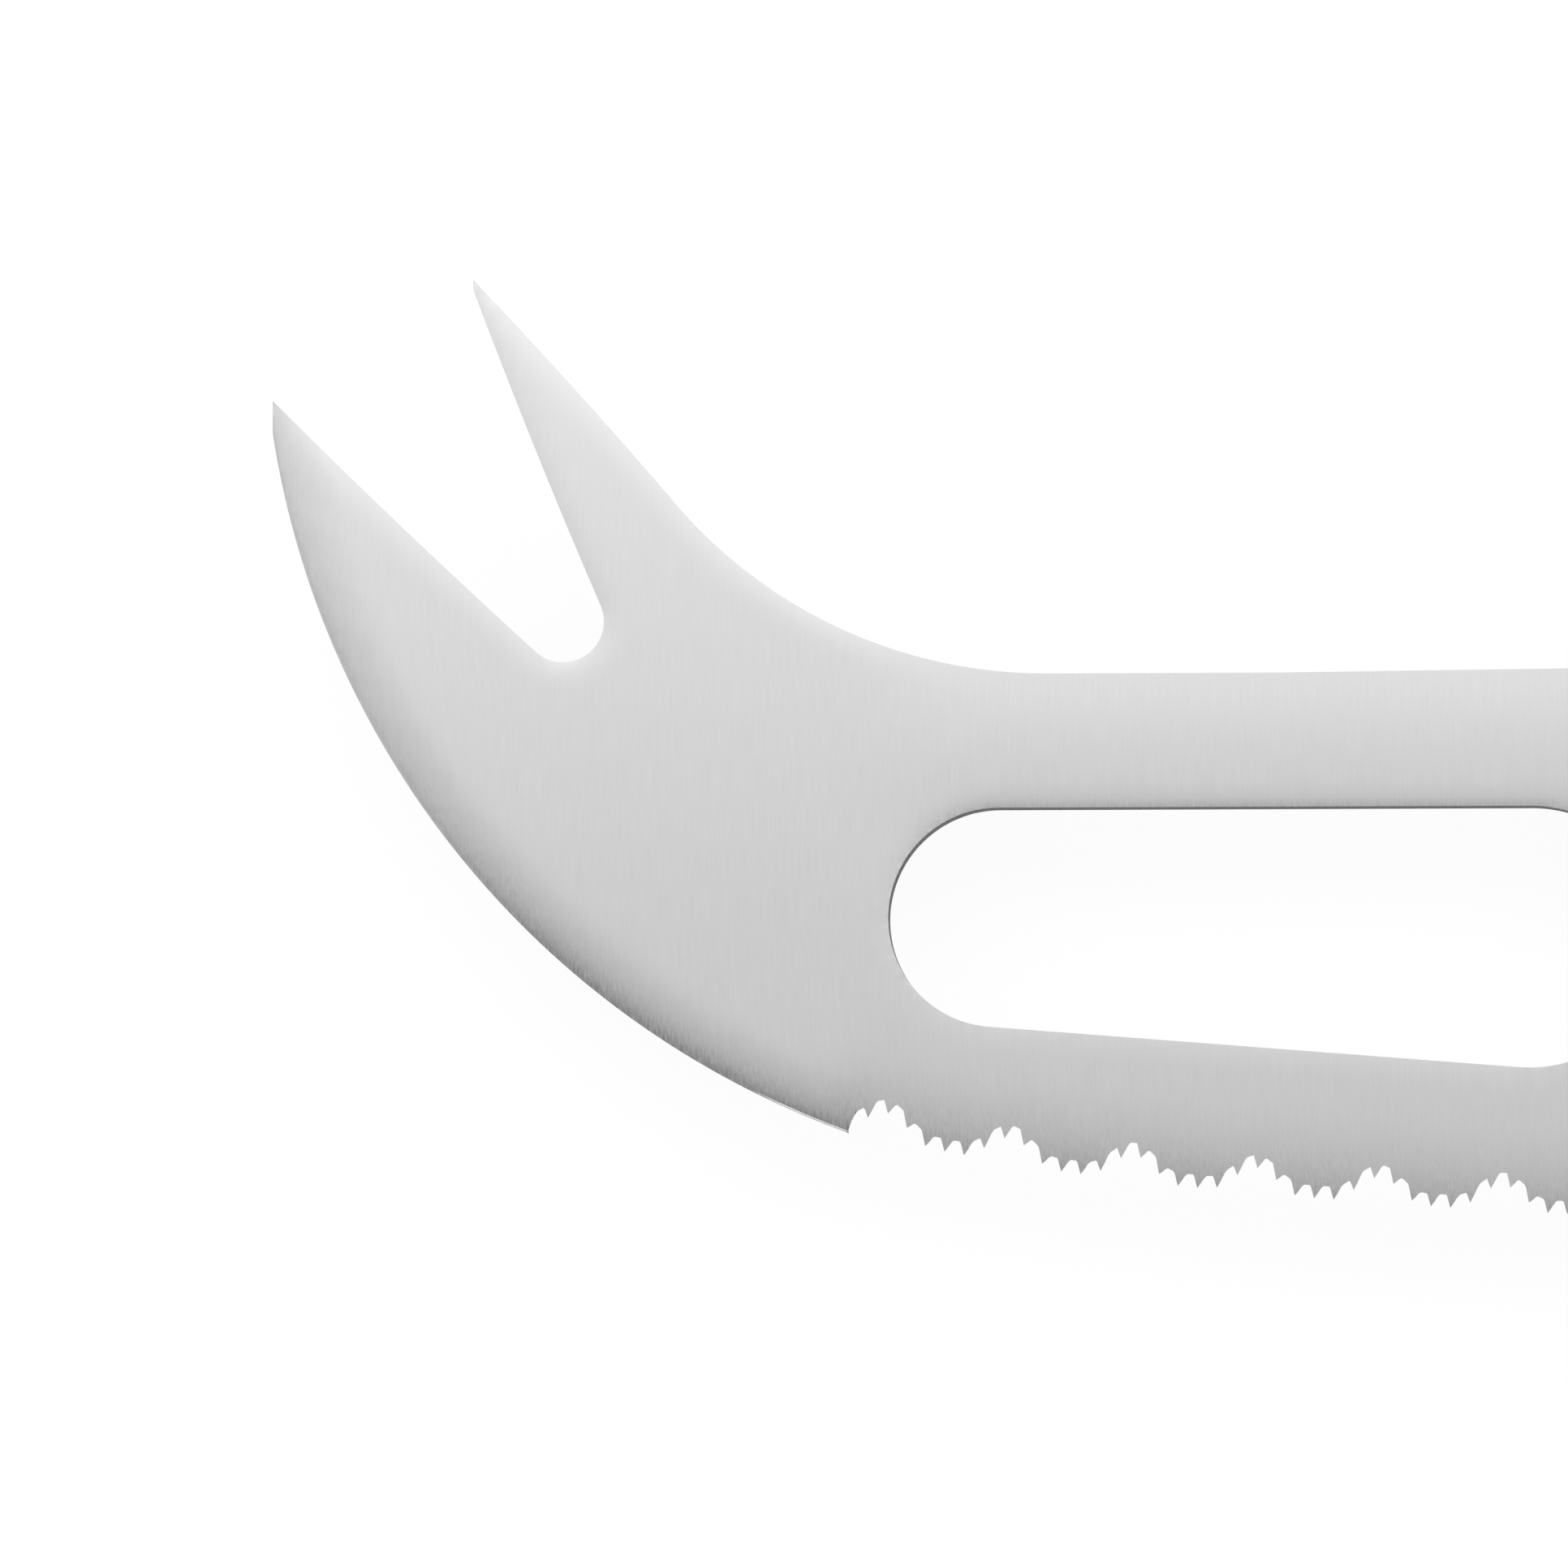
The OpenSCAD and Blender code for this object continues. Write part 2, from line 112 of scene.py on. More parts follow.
# Where the left face's fall over the teeth starts and ends along the knife
CROWN_START = (CORNER.x - 4 * MM, CORNER.x + 1 * MM)
CROWN_END = (HEEL.x - 7 * MM, HEEL.x - 1 * MM)

# Where the side grind starts, and its slope
GRIND_Y = SPINE_Y - 8.3 * MM
GRIND_SLOPE = 0.5 / 26.4

# Round parts of the outline and the windows: centre behind the tip and over the spine, and radius
ARC_SHAPES = (
    (47.77 * MM, 30.1 * MM, 30.1 * MM),
    (18.0 * MM, 3.3 * MM, 2.5 * MM),
    (44.8 * MM, -15.0 * MM, 6.75 * MM),
    (77.5 * MM, -16.3 * MM, 8.05 * MM),
    (98.4 * MM, -16.6 * MM, 8.35 * MM),
    (118.45 * MM, -16.85 * MM, 8.6 * MM),
    (141.05 * MM, -30.935 * MM, 9.0 * MM),
)

# Chords of an arc longer than the step are cut; a point counts as on the arc, or as up to a sag inside it
ARC_STEP = 0.5 * MM
ARC_CUTS = 3
ON_ARC = 0.004 * MM
BLADE_SAG = 0.035 * MM
HOLE_SAG = 0.06 * MM

# The rivets, and the air round their heads and round the pins
RIVET_PLACES = ("front", "middle", "rear")
HOLE_AIR = 0.03 * MM

# The strip between spine and windows: its height, where its crown starts and ends along the knife, and how
# far past its edges the crown runs out, in half heights
STRIP_HEIGHT = 8.25 * MM
STRIP_RUN_OUT = 1.6
STRIP_RUN_OUT_POWER = 6
STRIP_START = (TIP_X + 33 * MM, TIP_X + 47 * MM)
STRIP_END = (TIP_X + 121 * MM, TIP_X + 132 * MM)

# Painted shade along the edge: where it grows darker along the plain edge, from which share, turns into that
# of the teeth, and ends
BELLY_SHADE_GROWTH = (TIP_X + 5 * MM, TIP_X + 19 * MM)
LEAST_EDGE_SHADE = 0.25
EDGE_SHADE_CHANGE = (CORNER.x - 2 * MM, CORNER.x + 2 * MM)
EDGE_SHADE_END = (HEEL.x - 4 * MM, HEEL.x)

# Least and most brightness of a satin face against its colour
LEAST_LEVEL = 0.05
MOST_LEVEL = 2.0

# The painted highlight along the fine bevel: where it starts, how slowly, and its distances in from the edge
BEVEL_HIGHLIGHT_X = TIP_X + 29.5 * MM
BEVEL_HIGHLIGHT_RISE = 2 * MM
BEVEL_HIGHLIGHT = (0.02 * MM, 0.11 * MM)

# Grain of the satin faces: sizes of broad and torn lines against the fine lines', size of the clouds, and
# shares of fine lines, broad lines and clouds in the shade
BROAD_LINES = (5, 4)
TORN_LINES = (1.3, 0.25)
SATIN_CLOUDS = (12 * MM, 20 * MM)
SATIN_SHARES = (0.7, 0.15, 0.1)

# Grain of brushed steel: size of its clouds, shares of lines and clouds, and their contrast
BRUSHED_CLOUDS = 10 * MM
BRUSHED_SHARES = (0.7, 0.3)
BRUSHED_CONTRAST = 1.5

# Stamped walls: width and reach of the torn lines; plastic: size of the places that hands have polished
TEAR_SIZE = (0.12 * MM, 1.2 * MM)
HANDLED_SIZE = (30 * MM, 15 * MM)

# Darkest and brightest shade of each grain against its finish's colour
GROUND_SHADES = (0.85, 1.15)
TORN_SHADES = (0.7, 1.3)
BRUSHED_SHADES = (0.85, 1.1)
PLASTIC_SHADES = (0.8, 1.25)

# Roughness of the blade's stamped walls, and shade and roughness of its ground edges
WALL_ROUGHNESS = 0.5
GROUND_SHADE = 1.15
GROUND_ROUGHNESS = 0.22

# The upright part of a face's normal is less than this on a wall, and at least this on a flat face; and the
# least height of a whole wall
STEEP_FACE = 0.5
FLAT_FACE = 0.99
FULL_WALL = 1.1 * MM

WELD = 0.001 * MM
ONE_FACE_ANGLE = radians(0.1)
EDGE_MARK = "near_edge"

# Slots of the blade's materials
SATIN, WALL, GROUND = range(3)

# Floor: sides, rise and spread of the steps in which it curves up, gap under the knife, and its paint and
# glow, which together make it look white
FLOOR_SEGMENTS = 96
FLOOR_STEPS = ((0.3, 0.6), (1.0, 0.9), (4.0, 0.5))
FLOOR_GAP = 0.02 * MM
FLOOR_PAINT = 0.95
FLOOR_GLOW = 1.03

# Camera: width of its sensor in millimetres, and the nearest and farthest that it sees in metres
SENSOR_WIDTH = 36.0
CLIPPING = (0.01, 100.0)


# Materials


class Wire:
    """A value on its way through a material: sums and products of wires become Math nodes."""

    def __init__(self, finish, socket):
        self.finish = finish
        self.socket = socket

    def maths(self, operation, *values):
        return self.finish.node("ShaderNodeMath", {"operation": operation}, dict(enumerate(values)))

    def __add__(self, other):
        return self.maths("ADD", self, other)

    def __radd__(self, other):
        return self.maths("ADD", other, self)

    def __sub__(self, other):
        return self.maths("SUBTRACT", self, other)

    def __rsub__(self, other):
        return self.maths("SUBTRACT", other, self)

    def __mul__(self, other):
        return self.maths("MULTIPLY", self, other)

    def __rmul__(self, other):
        return self.maths("MULTIPLY", other, self)

    def __truediv__(self, other):
        return self.maths("DIVIDE", self, other)

    def __rtruediv__(self, other):
        return self.maths("DIVIDE", other, self)

    def __pow__(self, other):
        return self.maths("POWER", self, other)

    def __rpow__(self, other):
        return self.maths("POWER", other, self)

    def at_most(self, other):
        return self.maths("MINIMUM", self, other)

    def at_least(self, other):
        return self.maths("MAXIMUM", self, other)

    def over(self, other):
        return self.maths("GREATER_THAN", self, other)

    def centred(self):
        """A noise with its mean taken off."""
        return self - 0.5

    def clamped(self):
        return self.at_least(0.0).at_most(1.0)


class Finish:
    """A material that is built from nodes."""

    def __init__(self, name):
        self.material = bpy.data.materials.new(name)
        self.material.use_nodes = True
        self.tree = self.material.node_tree
        self.tree.nodes.clear()

    def node(self, kind, settings=None, values=None, output=0):
        """Adds a node with its settings and its sockets' values or links, and returns one output."""
        made = self.tree.nodes.new(kind)
        for key, value in (settings or {}).items():
            setattr(made, key, value)
        for key, value in (values or {}).items():
            if isinstance(value, Wire):
                self.tree.links.new(value.socket, made.inputs[key])
            else:
                made.inputs[key].default_value = value
        return Wire(self, made.outputs[output]) if len(made.outputs) else None

    def place(self):
        """The three object coordinates, in metres."""
        spot = self.node("ShaderNodeTexCoord", output="Object")
        parts = self.tree.nodes.new("ShaderNodeSeparateXYZ")
        self.tree.links.new(spot.socket, parts.inputs[0])
        return [Wire(self, parts.outputs[i]) for i in range(3)]

    def vector(self, x, y, z=0.0):
        return self.node("ShaderNodeCombineXYZ", values={0: x, 1: y, 2: z})

    def noise(self, vector, detail=2.0, rough=0.5):
        return self.node(
            "ShaderNodeTexNoise",
            {"noise_dimensions": "3D"},
            {"Vector": vector, "Scale": 1.0, "Detail": detail, "Roughness": rough},
        )

    def blend(self, mask, low, high):
        """A colour between two colours."""
        return self.node(
            "ShaderNodeMix",
            {"data_type": "RGBA"},
            {0: mask, 6: (*low, 1.0), 7: (*high, 1.0)},
            output=2,
        )

    def shades(self, mask, colour, shares):
        """Shades of one colour, from its darkest to its brightest."""
        return self.blend(mask, *[scaled(colour, share) for share in shares])

    def bump(self, height, strength, distance):
        return self.node(
            "ShaderNodeBump",
            values={"Height": height, "Strength": strength, "Distance": distance},
        )

    def surface(self, shader):
        self.node("ShaderNodeOutputMaterial", values={"Surface": shader})
        return self.material

    def principled(self, **values):
        sockets = {key.replace("_", " "): value for key, value in values.items()}
        return self.surface(self.node("ShaderNodeBsdfPrincipled", values=sockets))


def grey(level):
    return (level, level, level)


def scaled(colour, share):
    return tuple(part * share for part in colour)


def satin_steel(name, colour, settings, varies=0.12, relief=0.15, depth_of_relief=0.01 * MM):
    """Satin faces: grinding lines run across the blade and lean a little lower down; a painted shade in
    streaks darkens the edge and the strip over the windows, and a painted highlight lights the fine bevel.
    """
    finish = Finish(name)
    x, y = finish.place()[:2]
    depth = y - SPINE_Y
    slanted = x + depth * depth * settings.line_lean
    width, length = settings.line_width, settings.line_length
    broad_width, broad_length = BROAD_LINES
    torn_width, torn_length = TORN_LINES
    fine = finish.noise(finish.vector(slanted / width, depth / length), rough=0.6)
    broad = finish.noise(finish.vector(slanted / (broad_width * width), depth / (broad_length * length)))
    cloud = finish.noise(finish.vector(x / SATIN_CLOUDS[0], y / SATIN_CLOUDS[1]), detail=1.0)
    shares = SATIN_SHARES
    pattern = fine.centred() * shares[0] + broad.centred() * shares[1] + cloud.centred() * shares[2]
    # Painted shade along the edges and over the windows, broken into streaks by the torn lines
    edge_shade_share = finish.node("ShaderNodeAttribute", {"attribute_name": EDGE_MARK}, output="Fac")
    torn = finish.noise(
        finish.vector(slanted / (torn_width * width), depth / (torn_length * length)), detail=3.0, rough=0.6)
    painted_edge_shade = edge_shade_share * (torn.centred() * settings.shade_streak_contrast + 1.0).at_least(0.0) * settings.painted_edge_shade
    level = (pattern * settings.line_contrast + 1.0 - painted_edge_shade).at_least(LEAST_LEVEL)
    # Painted highlight on the fine bevel next to the corner
    level = level + painted_bevel_highlight(x, y) * settings.painted_bevel_highlight
    return finish.principled(
        Base_Color=finish.shades(level / MOST_LEVEL, colour, (0.0, MOST_LEVEL)),
        Metallic=1.0,
        Roughness=fine.centred() * varies + settings.roughness,
        Normal=finish.bump(fine, relief, depth_of_relief),
    )


def painted_bevel_highlight(x, y):
    """1 on the painted highlight along the fine bevel next to the corner, and 0 elsewhere."""
    inside = BELLY_RADIUS - ((x - BELLY_CENTRE.x) ** 2.0 + (y - BELLY_CENTRE.y) ** 2.0) ** 0.5
    across = inside.over(BEVEL_HIGHLIGHT[0]) * (1.0 - inside.over(BEVEL_HIGHLIGHT[1]))
    return across * ((x - BEVEL_HIGHLIGHT_X) / BEVEL_HIGHLIGHT_RISE).clamped() * (1.0 - x.over(CORNER.x))


def ground_steel(name, colour, roughness, settings, varies=0.16, relief=0.15, depth_of_relief=0.01 * MM):
    """Bright ground steel on the flutes, with the wheel's lines across the edge."""
    finish = Finish(name)
    x, y = finish.place()[:2]
    lines = finish.noise(
        finish.vector(x / settings.line_width, y / settings.line_length), detail=3.0, rough=0.6)
    return finish.principled(
        Base_Color=finish.shades(lines, colour, GROUND_SHADES),
        Metallic=1.0,
        Roughness=lines.centred() * varies + roughness,
        Normal=finish.bump(lines, relief, depth_of_relief),
    )


def stamped_steel(name, colour, roughness, rim, varies=0.2, relief=0.4, depth_of_relief=0.02 * MM):
    """The dull wall that the press leaves, with torn lines through the sheet; its darker colour and the
    nearly black tint it takes at a low angle are in part painted shade.
    """
    finish = Finish(name)
    x, y, z = finish.place()
    width, reach = TEAR_SIZE
    torn = finish.noise(finish.vector((x + y) / width, (x - y) / width, z / reach))
    return finish.principled(
        Base_Color=finish.shades(torn, colour, TORN_SHADES),
        Metallic=1.0,
        Roughness=torn.centred() * varies + roughness,
        # A nearly black tint at a low angle: painted shade on the walls
        Specular_Tint=(*grey(rim), 1.0),
        Normal=finish.bump(torn, relief, depth_of_relief),
    )


def brushed_steel(
        name, colour, roughness, line_width, line_length, relief, varies=0.14, depth_of_relief=0.02 * MM):
    """Steel that was brushed along the knife."""
    finish = Finish(name)
    x, y, z = finish.place()
    size = BRUSHED_CLOUDS
    fine = finish.noise(
        finish.vector(x / line_length, y / line_width, z / line_width), detail=3.0, rough=0.6)
    cloud = finish.noise(finish.vector(x / size, y / size, z / size), detail=1.0)
    mask = (fine * BRUSHED_SHARES[0] + cloud * BRUSHED_SHARES[1]).centred() * BRUSHED_CONTRAST + 0.5
    return finish.principled(
        Base_Color=finish.shades(mask.clamped(), colour, BRUSHED_SHADES),
        Metallic=1.0,
        Roughness=fine.centred() * varies + roughness,
        Normal=finish.bump(fine, relief, depth_of_relief),
    )


def moulded_plastic(name, colour, roughness, grain, varies=0.12, relief=0.35, depth_of_relief=0.03 * MM):
    """Black plastic with the fine spark texture of its mould, and a slight gloss where hands polish it."""
    finish = Finish(name)
    x, y, z = finish.place()
    length, width = HANDLED_SIZE
    spark = finish.noise(finish.vector(x / grain, y / grain, z / grain), detail=3.0, rough=0.55)
    handled = finish.noise(finish.vector(x / length, y / width, z / width), detail=1.0)
    return finish.principled(
        Base_Color=finish.shades(spark, colour, PLASTIC_SHADES),
        Roughness=spark.centred() * varies + handled.centred() * varies + roughness,
        IOR=1.5,
        Normal=finish.bump(spark, relief, depth_of_relief),
    )


def studio_floor(name, white_share):
    """A pale floor that looks white to the camera and in reflections, and still takes the shadow."""
    finish = Finish(name)
    seen = [finish.node("ShaderNodeLightPath", output=ray)
            for ray in ("Is Camera Ray", "Is Glossy Ray", "Is Transmission Ray")]
    mask = seen[0].at_least(seen[1]).at_least(seen[2]) * white_share
    paint = finish.node("ShaderNodeBsdfDiffuse", values={"Color": (*grey(FLOOR_PAINT), 1.0)})
    glow = finish.node("ShaderNodeEmission", values={"Color": (*grey(1.0), 1.0), "Strength": FLOOR_GLOW})
    return finish.surface(finish.node("ShaderNodeMixShader", values={0: mask, 1: paint, 2: glow}))


# Pieces


def joined_copy(node):
    """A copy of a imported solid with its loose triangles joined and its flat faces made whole."""
    mesh = bmesh.new()
    mesh.from_mesh(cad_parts[node].data)
    bmesh.ops.remove_doubles(mesh, verts=mesh.verts, dist=WELD)
    bmesh.ops.dissolve_limit(mesh, angle_limit=ONE_FACE_ANGLE, verts=mesh.verts, edges=mesh.edges)
    return mesh


def ease(mesh, edges, width, segments):
    """Breaks edges with a small round."""
    bmesh.ops.bevel(
        mesh, geom=edges, offset=width, offset_type="OFFSET", segments=segments, profile=0.5,
        affect="EDGES", clamp_overlap=True, material=-1,
    )


def corner_edges(mesh, angle):
    return [e for e in mesh.edges if len(e.link_faces) == 2 and e.calc_face_angle() > angle]


def shade(mesh, angle):
    """Smooth shading, apart from the edges that are sharper than the angle."""
    for face in mesh.faces:
        face.smooth = True
    for edge in mesh.edges:
        edge.smooth = len(edge.link_faces) == 2 and edge.calc_face_angle() < angle


def finished_piece(mesh, name, node, materials, angle=radians(35)):
    """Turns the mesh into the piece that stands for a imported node."""
    bmesh.ops.triangulate(mesh, faces=[f for f in mesh.faces if len(f.verts) > 4])
    shade(mesh, angle)
    data = bpy.data.meshes.new(name)
    for material in materials:
        data.materials.append(material)
    mesh.to_mesh(data)
    mesh.free()
    for stale in ("custom_normal", "sharp_face"):
        if stale in data.attributes:
            data.attributes.remove(data.attributes[stale])
    piece = bpy.data.objects.new(name, data)
    bpy.context.scene.collection.objects.link(piece)
    weighted = piece.modifiers.new("Even shading", "WEIGHTED_NORMAL")
    weighted.keep_sharp = True
    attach(piece, BODY)
    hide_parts(node)
    return piece


def head_circles(air):
    """Centres and radii of the rivet heads and the pins, with some air round them."""
    for place in RIVET_PLACES:
        low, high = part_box(f"rivet_{place}_male")
        yield ((low + high) / 2).xy, (high.x - low.x) / 2 + air
    low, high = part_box("bolster_pins")
    radius = (high.x - low.x) / 2
    for y in (low.y + radius, high.y - radius):
        yield Vector(((low.x + high.x) / 2, y)), radius + air


def on_circle(edge, centre, radius):
    return all(abs((v.co.xy - centre).length - radius) < ON_ARC for v in edge.verts)


def eased_piece(node, name, material, width, air, segments=3, angle=radians(40)):
    """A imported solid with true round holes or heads, and with all its edges but the hole rims broken."""
    mesh = joined_copy(node)
    circles = list(head_circles(air))
    curve_arcs(mesh, circles, HOLE_SAG)
    edges = corner_edges(mesh, angle)
    if air > 0.0:
        edges = [e for e in edges if not any(on_circle(e, *circle) for circle in circles)]
    ease(mesh, edges, width, segments)
    for face in mesh.faces:
        face.material_index = 0
    return finished_piece(mesh, name, node, [material])


def height(face):
    levels = [v.co.z for v in face.verts]
    return max(levels) - min(levels)


def is_wall(face):
    return abs(face.normal.z) < STEEP_FACE


def find_belly_centre():
    chord = CORNER - BELLY_START
    reach = (BELLY_RADIUS ** 2 - chord.length_squared / 4) ** 0.5
    return (BELLY_START + CORNER) / 2 + Vector((-chord.y, chord.x)).normalized() * reach


BELLY_CENTRE = find_belly_centre()


def smooth_share(value, low, high):
    """0 below low, 1 above high, and a smooth rise between."""
    t = min(1.0, max(0.0, (value - low) / (high - low)))
    return t * t * (3.0 - 2.0 * t)


def tip_line(x):
    """Height of the line of the tooth tips."""
    u = (HEEL.x - x) / (HEEL.x - CORNER.x)
    rise = FIRST_TIP_Y - HEEL.y
    return HEEL.y + rise * (TIP_LINE_PARABOLA * u ** 2 + (1 - TIP_LINE_PARABOLA) * abs(u) ** TIP_LINE_POWER)


def from_belly(point):
    """Distance in from the plain edge."""
    return BELLY_RADIUS - hypot(point.x - BELLY_CENTRE.x, point.y - BELLY_CENTRE.y)


def from_tips(point):
    """Height over the line of the tooth tips."""
    return point.y - tip_line(max(point.x, CORNER.x))


def in_teeth(point):
    """Whether a place lies in the band of teeth along the serrated edge."""
    return TEETH_SPAN[0] < point.x < TEETH_SPAN[1] and from_tips(point) < TOOTH_BAND


def on_fine_bevel(point):
    return point.x < CORNER.x and from_belly(point) < FINE_BEVEL


def from_edge(point):
    """Distance in from the whole edge, past the corner between its plain and its serrated part."""
    share = smooth_share(point.x, *EDGE_BLEND)
    return (1.0 - share) * from_belly(point) + share * from_tips(point)


def blade_arcs():
    """Centres and radii of the round parts of the outline and of the windows."""
    yield BELLY_CENTRE, BELLY_RADIUS
    for x, y, radius in ARC_SHAPES:
        yield Vector((TIP_X + x, SPINE_Y + y)), radius


def curve_arcs(mesh, rounds, most_sag):
    """Brings the straight chords of the round walls out onto their true arcs."""
    walls = [e for e in mesh.edges if any(is_wall(f) for f in e.link_faces)]
    for centre, radius in rounds:
        chords = [e for e in walls if e.is_valid and on_circle(e, centre, radius)
                  and (e.verts[0].co.xy - e.verts[1].co.xy).length > ARC_STEP]
        bmesh.ops.subdivide_edges(mesh, edges=chords, cuts=ARC_CUTS)
        for vert in mesh.verts:
            off = vert.co.xy - centre
            if 0.0 < radius - off.length < most_sag and any(is_wall(f) for f in vert.link_faces):
                vert.co.xy = centre + off * (radius / off.length)


def round_tip(mesh, radius):
    """Rounds the two upright corners of the upper tine's blunt tip."""
    upright = [e for e in mesh.edges
               if (e.verts[0].co.xy - e.verts[1].co.xy).length < WELD
               and all((v.co.xy - UPPER_TIP).length < TIP_REACH for v in e.verts)]
    ease(mesh, upright, radius, segments=4)


def round_valleys(mesh, width):
    """Rounds the flutes' bottoms between the teeth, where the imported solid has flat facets."""
    creases = [e for e in mesh.edges
               if len(e.link_faces) == 2 and not e.is_convex and e.calc_length() > VALLEY_LENGTH
               and e.calc_face_angle() > VALLEY_ANGLE and in_teeth((e.verts[0].co + e.verts[1].co) / 2)]
    ease(mesh, creases, width, segments=3)


def sheet_walls(mesh):
    """The walls of the stamped outline and windows in front of the handle."""
    return [f for f in mesh.faces
            if is_wall(f) and height(f) > FULL_WALL and f.calc_center_median().x < BOLSTER_X]


def wall_tree(mesh):
    walls = sheet_walls(mesh)
    points, polygons = [], []
    for face in walls:
        first = len(points)
        points += [v.co.copy() for v in face.verts]
        polygons.append(list(range(first, len(points))))
    return BVHTree.FromPolygons(points, polygons)


def slice_blade(mesh, cell):
    """Cuts the blade before the bolster into small cells, so that its faces can bend near their edges."""
    across, along = Vector((0.0, 1.0, 0.0)), Vector((1.0, 0.0, 0.0))
    for normal, low, high in ((across, BLADE_LOW.y, BLADE_HIGH.y), (along, TIP_X, BOLSTER_X + cell)):
        for k in range(1, int((high - low) / cell)):
            bmesh.ops.bisect_plane(
                mesh, geom=mesh.verts[:] + mesh.edges[:] + mesh.faces[:], dist=WELD,
                plane_co=normal * (low + k * cell), plane_no=normal,
            )


def thin(vert, drop):
    """Brings a point of the blade nearer to the middle of the sheet; a point on its face falls by drop."""
    vert.co.z = SHEET_MID_Z + (vert.co.z - SHEET_MID_Z) * (1.0 - drop / HALF_SHEET)


def roll_over(mesh, tree, settings):
    """Draws the faces in along the stamped outline, as the press and the satin wheel do."""
    for vert in mesh.verts:
        if vert.co.x > BOLSTER_X - settings.roll_width:
            continue
        _, _, _, distance = tree.find_nearest(vert.co)
        depth = settings.roll_depth
        if vert.co.y > SPINE_Y - settings.roll_width:
            depth *= 1.0 - smooth_share(vert.co.x, *STRIP_START)
        if distance < settings.roll_width:
            thin(vert, depth * (1.0 - distance / settings.roll_width) ** 2)


def ease_grind_start(mesh, width):
    """Lets the side grind start in a wide round in place of a crease."""
    for vert in mesh.verts:
        off = abs(vert.co.y - GRIND_Y) / width
        if off < 1.0 and vert.co.x < HEEL.x:
            thin(vert, GRIND_SLOPE * width / 4 * (1.0 - off) ** 2)


def crown_strip(mesh, settings):
    """Lets the strip between spine and windows fall off towards both its edges."""
    middle = SPINE_Y - STRIP_HEIGHT / 2
    for vert in mesh.verts:
        off = abs(vert.co.y - middle) / (STRIP_HEIGHT / 2)
        along = smooth_share(vert.co.x, *STRIP_START) * (1.0 - smooth_share(vert.co.x, *STRIP_END))
        if along > 0.0:
            run_out = 1.0 + (off / STRIP_RUN_OUT) ** STRIP_RUN_OUT_POWER
            thin(vert, along * settings.strip_crown * off ** 2 / run_out)


def fade_bevel(mesh, length):
    """Lets the plain edge's bevel run out past the corner in place of a step."""
    for vert in mesh.verts:
        inside = from_belly(vert.co)
        past = vert.co.x - BEVEL_END_X
        if vert.co.z <= SHEET_MID_Z or inside > BEVEL_WIDTH or not -WELD < past < length:
            continue
        share = (BEVEL_WIDTH - inside) / (BEVEL_WIDTH - FINE_BEVEL)
        fall = BEVEL_DROP * share ** 2 * (1.0 - smooth_share(past, 0.0, length))
        flat = BLADE_HIGH.z - max(0.0, GRIND_Y - vert.co.y) * GRIND_SLOPE
        vert.co.z = min(vert.co.z, flat - fall)
    bmesh.ops.remove_doubles(mesh, verts=mesh.verts, dist=2 * WELD)


def crown_over_teeth(mesh, settings):
    """Lets the left face fall towards the teeth."""
    for vert in mesh.verts:
        if vert.co.z <= SHEET_MID_Z:
            continue
        inside = from_edge(vert.co) / settings.crown_width
        along = smooth_share(vert.co.x, *CROWN_START) * (1.0 - smooth_share(vert.co.x, *CROWN_END))
        if inside < 1.0 and along > 0.0:
            thin(vert, along * settings.crown_depth * (1.0 - max(inside, 0.0)) ** 2)


def paint_edge_shade(mesh, tree, settings):
    """Keeps on each point how much painted shade darkens it: along the edge, and on the strip over the
    windows.
    """
    layer = mesh.verts.layers.float.new(EDGE_MARK)
    for vert in mesh.verts:
        ahead = 1.0 - smooth_share(vert.co.x, *EDGE_SHADE_END)
        past = smooth_share(vert.co.x, *EDGE_SHADE_CHANGE)
        along = LEAST_EDGE_SHADE + (1.0 - LEAST_EDGE_SHADE) * smooth_share(vert.co.x, *BELLY_SHADE_GROWTH)
        depth = (1.0 - past) * settings.belly_shade * along + past * settings.teeth_shade
        fade = (1.0 - past) * settings.belly_fade + past * settings.teeth_fade
        _, wall_normal, _, distance = tree.find_nearest(vert.co)
        above = max(0.0, -wall_normal.y) ** 2
        # Painted shade: strongest at the edge, and over walls that face downward
        vert[layer] = ahead * (
            depth * exp(-max(0.0, from_edge(vert.co)) / fade)
            + above * settings.window_shade * exp(-distance / settings.window_fade)
        )


def blade_material(face):
    """Which of the blade's materials a face takes."""
    centre = face.calc_center_median()
    if in_teeth(centre) and -FLAT_FACE < face.normal.z < 0.0:
        return GROUND
    if is_wall(face) and centre.x < BOLSTER_X and not on_fine_bevel(centre):
        return WALL
    return SATIN


def dress_blade(settings):
    mesh = joined_copy("blade")
    round_tip(mesh, settings.tip_round)
    curve_arcs(mesh, blade_arcs(), BLADE_SAG)
    round_valleys(mesh, settings.valley_round)
    tree = wall_tree(mesh)
    slice_blade(mesh, settings.cell * (1))
    paint_edge_shade(mesh, tree, settings)
    roll_over(mesh, tree, settings)
    ease_grind_start(mesh, settings.grind_start_width)
    crown_strip(mesh, settings)
    fade_bevel(mesh, settings.bevel_run_out)
    crown_over_teeth(mesh, settings)
    mesh.normal_update()
    for face in mesh.faces:
        face.material_index = blade_material(face)
    colour = tuple(settings.colour)
    satin = satin_steel("satin_blade_steel", colour, settings)
    # The walls take a darker copy of the steel: partly their dull finish, partly painted shade
    wall = stamped_steel(
        "stamped_edge_steel", scaled(colour, settings.wall_dull_and_shade), WALL_ROUGHNESS, settings.wall_grazing_shade)
    edge = ground_steel("ground_edge_steel", scaled(colour, GROUND_SHADE), GROUND_ROUGHNESS, settings)
    return finished_piece(mesh, "blade_satin", "blade", [satin, wall, edge])


